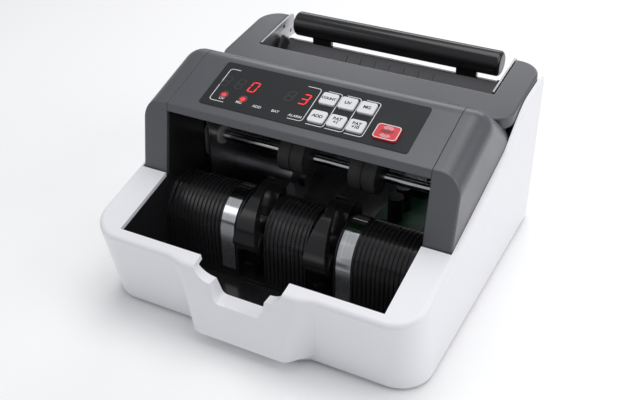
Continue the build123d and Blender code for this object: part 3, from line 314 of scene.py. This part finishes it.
def panel_matrix(x, v, rise):
    """Place on the panel: x across, v up from the film's front edge, rise above the film."""
    spot = PANEL_START + PANEL_ACROSS * x + PANEL_ALONG * v + PANEL_UP * rise
    turn = Matrix((PANEL_ACROSS, PANEL_ALONG, PANEL_UP)).transposed().to_4x4()
    return Matrix.Translation(spot) @ turn


def key_rise(node):
    """Height of a key's top above the film."""
    return max((v.co - PANEL_START).dot(PANEL_UP) for v in nodes[node].data.vertices)


def piece(name, mesh, material, body, matrix=None):
    made = bpy.data.objects.new(name, mesh)
    scene.collection.objects.link(made)
    mesh.materials.clear()
    mesh.materials.append(material)
    if matrix:
        made.matrix_world = matrix
    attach(made, body)
    return made


def plates(name, outlines, thickness):
    """Mesh of thin plates, one per closed outline of (x, y) points in metres."""
    bm = bmesh.new()
    for outline in outlines:
        rings = [[bm.verts.new((x, y, z)) for x, y in outline] for z in (0, thickness)]
        bm.faces.new(list(reversed(rings[0])))
        bm.faces.new(rings[1])
        for i in range(len(outline)):
            j = (i + 1) % len(outline)
            bm.faces.new((rings[0][i], rings[0][j], rings[1][j], rings[1][i]))
    bm.normal_update()
    mesh = bpy.data.meshes.new(name)
    bm.to_mesh(mesh)
    bm.free()
    return mesh


def rounded_path(points, radius, steps=7):
    """Polyline through points with its inner corners rounded."""
    points = [Vector(p) for p in points]
    made = [points[0]]
    for before, corner, after in zip(points, points[1:], points[2:]):
        start = corner + (before - corner).normalized() * radius
        end = corner + (after - corner).normalized() * radius
        for i in range(steps + 1):
            t = i / steps
            made.append(start.lerp(corner, t).lerp(corner.lerp(end, t), t))
    made.append(points[-1])
    return made


def stroke(points, width, closed=False):
    """Outline of a flat line of the given width that follows points."""
    left, right = [], []
    count = len(points)
    for i, point in enumerate(points):
        before = points[i - 1] if i or closed else point
        after = points[(i + 1) % count] if i + 1 < count or closed else point
        way = (after - before).normalized()
        side = Vector((-way.y, way.x)) * width / 2
        left.append(point + side)
        right.append(point - side)
    return left, right


def line_outline(points, width):
    left, right = stroke(points, width)
    return [tuple(p) for p in right + list(reversed(left))]


def ring_mesh(name, points, width, thickness):
    """Closed flat line as one mesh."""
    left, right = stroke(points, width, closed=True)
    bm = bmesh.new()
    count = len(points)
    rows = [
        [bm.verts.new((p.x, p.y, z)) for p in side]
        for side, z in ((right, 0), (right, thickness), (left, thickness), (left, 0))
    ]
    for i in range(count):
        j = (i + 1) % count
        for a in range(4):
            b = (a + 1) % 4
            bm.faces.new((rows[a][i], rows[a][j], rows[b][j], rows[b][i]))
    bmesh.ops.recalc_face_normals(bm, faces=bm.faces)
    mesh = bpy.data.meshes.new(name)
    bm.to_mesh(mesh)
    bm.free()
    return mesh


def millimetres(points):
    return [tuple(c * MM for c in p) for p in points]


LINE = 0.55 * MM
INK_THICKNESS = 0.05 * MM


def bracket(name, points):
    path = rounded_path(millimetres(points), 2.6 * MM)
    mesh = plates(name, [line_outline(path, LINE)], INK_THICKNESS)
    piece(name, mesh, WHITE_INK, "chassis", panel_matrix(0, 0, 0))


bracket("bracket_left", [(-61.5, 36.3), (-69.2, 36.3), (-69.2, 5.0), (-58.0, 5.0)])
bracket("bracket_right", [(-9.4, 36.3), (0.9, 36.3), (0.9, 5.0), (-9.6, 5.0)])

KEY_COLUMNS = (9.5, 23.2, 36.9)
KEY_ROWS = (28.5, 11.4)
for number, column in enumerate(KEY_COLUMNS):
    edge = column + 7.0
    bracket(
        f"bracket_keys_{number + 1}",
        [(column - 3.6, 35.9), (edge, 35.9), (edge, 4.2), (column - 5.4, 4.2)],
    )


def caption(name, text, x, v, size, material, body, rise=0.0, bold=0.0, spacing=1.0):
    """Printed word, as a thin mesh centred at (x, v)."""
    curve = bpy.data.curves.new(name + "_text", "FONT")
    curve.body = text
    curve.size = size * MM
    curve.align_x = "CENTER"
    curve.align_y = "CENTER"
    curve.space_line = 0.85
    curve.space_character = spacing
    curve.offset = bold * MM
    curve.extrude = INK_THICKNESS / 2
    holder = bpy.data.objects.new(name + "_text", curve)
    scene.collection.objects.link(holder)
    bpy.context.view_layer.update()
    mesh = bpy.data.meshes.new_from_object(holder.evaluated_get(bpy.context.evaluated_depsgraph_get()))
    bpy.data.objects.remove(holder)
    mesh.name = name
    return piece(name, mesh, material, body, panel_matrix(x * MM, v * MM, rise + INK_THICKNESS / 2))


LAMP_CAPTIONS = (("UV", -61.0), ("MG", -47.6), ("ADD", -33.8), ("BAT", -20.0), ("ALARM", -5.4))
for text, x in LAMP_CAPTIONS:
    caption("caption_lamp_" + text.lower(), text, x, 8.0, 3.0, WHITE_INK, "chassis", bold=0.05)

KEY_CAPTIONS = (
    ("button_count", "COUNT", 0, 0, 2.9),
    ("button_uv", "UV", 1, 0, 3.6),
    ("button_mg", "MG", 2, 0, 3.6),
    ("button_add", "ADD", 0, 1, 3.6),
    ("button_batch_one", "BAT\n+1", 1, 1, 3.5),
    ("button_batch_ten", "BAT\n+10", 2, 1, 3.5),
)
for node, text, column, row, size in KEY_CAPTIONS:
    caption(
        "caption_" + node, text, KEY_COLUMNS[column], KEY_ROWS[row], size, DARK_INK,
        node + "_key", key_rise(node), 0.12, 0.94,
    )


def rounded_rectangle(width, length, radius):
    a, b = width / 2 - radius, length / 2 - radius
    made = []
    for number, (x, y) in enumerate(((a, b), (-a, b), (-a, -b), (a, -b))):
        for i in range(8):
            angle = math.radians(90 * number + 90 * i / 7)
            made.append(Vector((x + radius * math.cos(angle), y + radius * math.sin(angle))))
    return made


RESTART = (57.8, 12.2)
RESTART_LINE = 0.6 * MM
RESTART_RISE = key_rise("button_restart")
restart_place = panel_matrix(RESTART[0] * MM, RESTART[1] * MM, RESTART_RISE)
restart_path = rounded_rectangle(15.6 * MM, 12.0 * MM, 2.2 * MM)
piece(
    "restart_outline", ring_mesh("restart_outline", restart_path, RESTART_LINE, INK_THICKNESS), WHITE_INK,
    "button_restart_key", restart_place,
)


def arc_points(radius, start, end, steps=14):
    made = []
    for i in range(steps + 1):
        angle = math.radians(start + (end - start) * i / steps)
        made.append(Vector((radius * math.cos(angle), radius * math.sin(angle))))
    return made


ARC_RADII = (2.9, 3.8, 4.7)
ARC_HALF_ANGLE = 48
ARC_LINE = 0.32 * MM
arcs = []
for radius in ARC_RADII:
    for middle in (90, 270):
        sweep = arc_points(radius * MM, middle - ARC_HALF_ANGLE, middle + ARC_HALF_ANGLE)
        arcs.append(line_outline(sweep, ARC_LINE))
piece(
    "restart_arcs", plates("restart_arcs", arcs, INK_THICKNESS), WHITE_INK,
    "button_restart_key", restart_place,
)
caption(
    "caption_restart", "RESET", RESTART[0], RESTART[1], 3.2, DARK_INK,
    "button_restart_key", RESTART_RISE, 0.08,
)


# --------------------------------------------------- digits and lit lamps
DIGIT_WIDTH = 5.0
DIGIT_LENGTH = 9.0
BAR = 0.92
BAR_GAP = 0.16
SLANT = 0.14
SEGMENTS = {
    "top": ((0, 2), (1, 2)), "middle": ((0, 1), (1, 1)), "bottom": ((0, 0), (1, 0)),
    "upper_left": ((0, 1), (0, 2)), "upper_right": ((1, 1), (1, 2)),
    "lower_left": ((0, 0), (0, 1)), "lower_right": ((1, 0), (1, 1)),
}
SHOWN = {
    "zero": ("top", "bottom", "upper_left", "upper_right", "lower_left", "lower_right"),
    "three": ("top", "middle", "bottom", "upper_right", "lower_right"),
}


def segment_outline(name):
    """Six sided bar of a slanted digit, centred on the digit."""
    (ax, ay), (bx, by) = SEGMENTS[name]
    start = Vector(((ax - 0.5) * DIGIT_WIDTH, (ay - 1) * DIGIT_LENGTH / 2))
    end = Vector(((bx - 0.5) * DIGIT_WIDTH, (by - 1) * DIGIT_LENGTH / 2))
    way = (end - start).normalized()
    side = Vector((-way.y, way.x)) * BAR / 2
    tip = BAR / 2
    start, end = start + way * BAR_GAP, end - way * BAR_GAP
    corners = [
        start, start + way * tip - side, end - way * tip - side,
        end, end - way * tip + side, start + way * tip + side,
    ]
    return [((p.x + p.y * SLANT) * MM, p.y * MM) for p in corners]


def digit(name, x, bars, material, rise):
    mesh = plates(name, [segment_outline(bar) for bar in bars], INK_THICKNESS)
    piece(name, mesh, material, "chassis", panel_matrix(x * MM, DIGIT_V * MM, rise))


UNLIT = ink("unlit_segment", (0.017, 0.0145, 0.017), (0.020, 0.017, 0.019), 0.5)
DIGIT_V = 24.1
DIGIT_RISE = 0.06 * MM
digit("digit_count", -44.7, SHOWN["zero"], SEGMENT, DIGIT_RISE)
digit("digit_batch", -6.1, SHOWN["three"], SEGMENT, DIGIT_RISE)
for number, x in enumerate((-66.0, -55.3, -16.8)):
    digit(f"digit_off_{number + 1}", x, tuple(SEGMENTS), UNLIT, 0.0)


DISC_SIDES = 32
DISC_RINGS = 5


def disc(name, radius, thickness, material, x, v, rise, stretch=1.0, dome=0.0):
    """Flat or domed round piece on the panel."""
    bm = bmesh.new()
    rings = []
    for level in range(DISC_RINGS):
        share = 1 - level / DISC_RINGS
        height = thickness + dome * (1 - share**2)
        rings.append([
            bm.verts.new((
                radius * share * math.cos(math.tau * i / DISC_SIDES) * stretch,
                radius * share * math.sin(math.tau * i / DISC_SIDES),
                height,
            ))
            for i in range(DISC_SIDES)
        ])
    base = [bm.verts.new((p.co.x, p.co.y, 0)) for p in rings[0]]
    top = bm.verts.new((0, 0, thickness + dome))
    for inner, outer in zip(rings[1:], rings):
        for i in range(DISC_SIDES):
            j = (i + 1) % DISC_SIDES
            bm.faces.new((outer[i], outer[j], inner[j], inner[i]))
    for i in range(DISC_SIDES):
        j = (i + 1) % DISC_SIDES
        bm.faces.new((base[i], base[j], rings[0][j], rings[0][i]))
        bm.faces.new((rings[-1][i], rings[-1][j], top))
    bm.faces.new(list(reversed(base)))
    mesh = bpy.data.meshes.new(name)
    bm.to_mesh(mesh)
    bm.free()
    for polygon in mesh.polygons:
        polygon.use_smooth = True
    return piece(name, mesh, material, "chassis", panel_matrix(x * MM, v * MM, rise))


LAMP_V = 11.6
LAMP_X = [-61.2 + 13.8 * i for i in range(5)]
LAMP_X[1] = -46.6
LIT_LAMPS = 2
GLOW_RADIUS = 3.4 * MM
GLOW_THICKNESS = 0.02 * MM
LAMP_RADIUS = 1.25 * MM
LAMP_THICKNESS = 0.06 * MM
LAMP_STRETCH = 1.3
LAMP_DOME = 0.15 * MM
GLOW = halo("lamp_glow", FILM, (1.0, 0.03, 0.02), 1.6, 3.6 * MM)
for number in range(LIT_LAMPS):
    disc(f"lamp_glow_{number + 1}", GLOW_RADIUS, GLOW_THICKNESS, GLOW, LAMP_X[number], LAMP_V, 0.0)
    disc(
        f"lamp_{number + 1}", LAMP_RADIUS, LAMP_THICKNESS, LAMP, LAMP_X[number], LAMP_V, GLOW_THICKNESS,
        LAMP_STRETCH, LAMP_DOME,
    )


# ---------------------------------------------------------------- the view
CAMERA_PLACE = (0.255515, -0.503914, 0.426143)
CAMERA_YAW_PITCH_ROLL = (27.399, -33.769, -0.362)
CAMERA_LENS = 53.13


def add_camera():
    """Camera above the front right corner, looking down on the pocket and the keys."""
    data = bpy.data.cameras.new("view")
    data.sensor_width = 36.0
    data.lens = CAMERA_LENS
    data.clip_start = 0.02
    data.clip_end = 30.0
    camera = bpy.data.objects.new("view", data)
    scene.collection.objects.link(camera)
    yaw, pitch, roll = (math.radians(a) for a in CAMERA_YAW_PITCH_ROLL)
    ahead = Vector((-math.sin(yaw) * math.cos(pitch), math.cos(yaw) * math.cos(pitch), math.sin(pitch)))
    right = ahead.cross(Vector((0, 0, 1))).normalized()
    up = right.cross(ahead)
    across = right * math.cos(roll) + up * math.sin(roll)
    above = up * math.cos(roll) - right * math.sin(roll)
    turn = Matrix((across, above, -ahead)).transposed().to_4x4()
    camera.matrix_world = Matrix.Translation(CAMERA_PLACE) @ turn
    scene.camera = camera


def add_softbox(name, place, target, size, power):
    data = bpy.data.lights.new(name, "AREA")
    data.shape = "RECTANGLE"
    data.size, data.size_y = size
    data.energy = power
    lamp = bpy.data.objects.new(name, data)
    scene.collection.objects.link(lamp)
    way = Vector(target) - Vector(place)
    lamp.matrix_world = Matrix.Translation(place) @ way.to_track_quat("-Z", "Y").to_matrix().to_4x4()


FLOOR_HALF_SIZE = 6.0


def add_floor():
    """Plain pale floor under the feet."""
    bm = bmesh.new()
    bmesh.ops.create_grid(bm, x_segments=8, y_segments=8, size=FLOOR_HALF_SIZE)
    mesh = bpy.data.meshes.new("floor")
    bm.to_mesh(mesh)
    bm.free()
    floor = bpy.data.objects.new("floor", mesh)
    scene.collection.objects.link(floor)
    floor.location.z = cad_low.z
    paper = Shader("floor_paper", 0.75)
    clouds = paper.spread(paper.noise(3, 3), 0, 1)
    paper.colour(paper.blend(clouds, (0.97, 0.97, 0.97), (0.955, 0.955, 0.955)))
    mesh.materials.append(paper.material)


def add_world():
    world = bpy.data.worlds.new("studio")
    world.use_nodes = True
    back = world.node_tree.nodes["Background"]
    back.inputs["Color"].default_value = (0.95, 0.96, 1.0, 1)
    back.inputs["Strength"].default_value = 0.40
    scene.world = world


add_camera()
add_world()
add_floor()
add_softbox("overhead", (0.1, 0.15, 1.3), (0, 0, 0.05), (1.2, 0.9), 8.6)
add_softbox("left_front", (-0.9, -0.7, 0.8), (0, -0.05, 0.05), (0.8, 0.7), 1.9)
add_softbox("right_side", (1.1, 0.1, 0.7), (0, 0, 0.05), (0.8, 0.8), 4.6)
add_softbox("behind", (-0.2, 1.2, 0.7), (0, 0.05, 0.1), (1.2, 0.4), 3.4)
scene.view_settings.view_transform = "Standard"
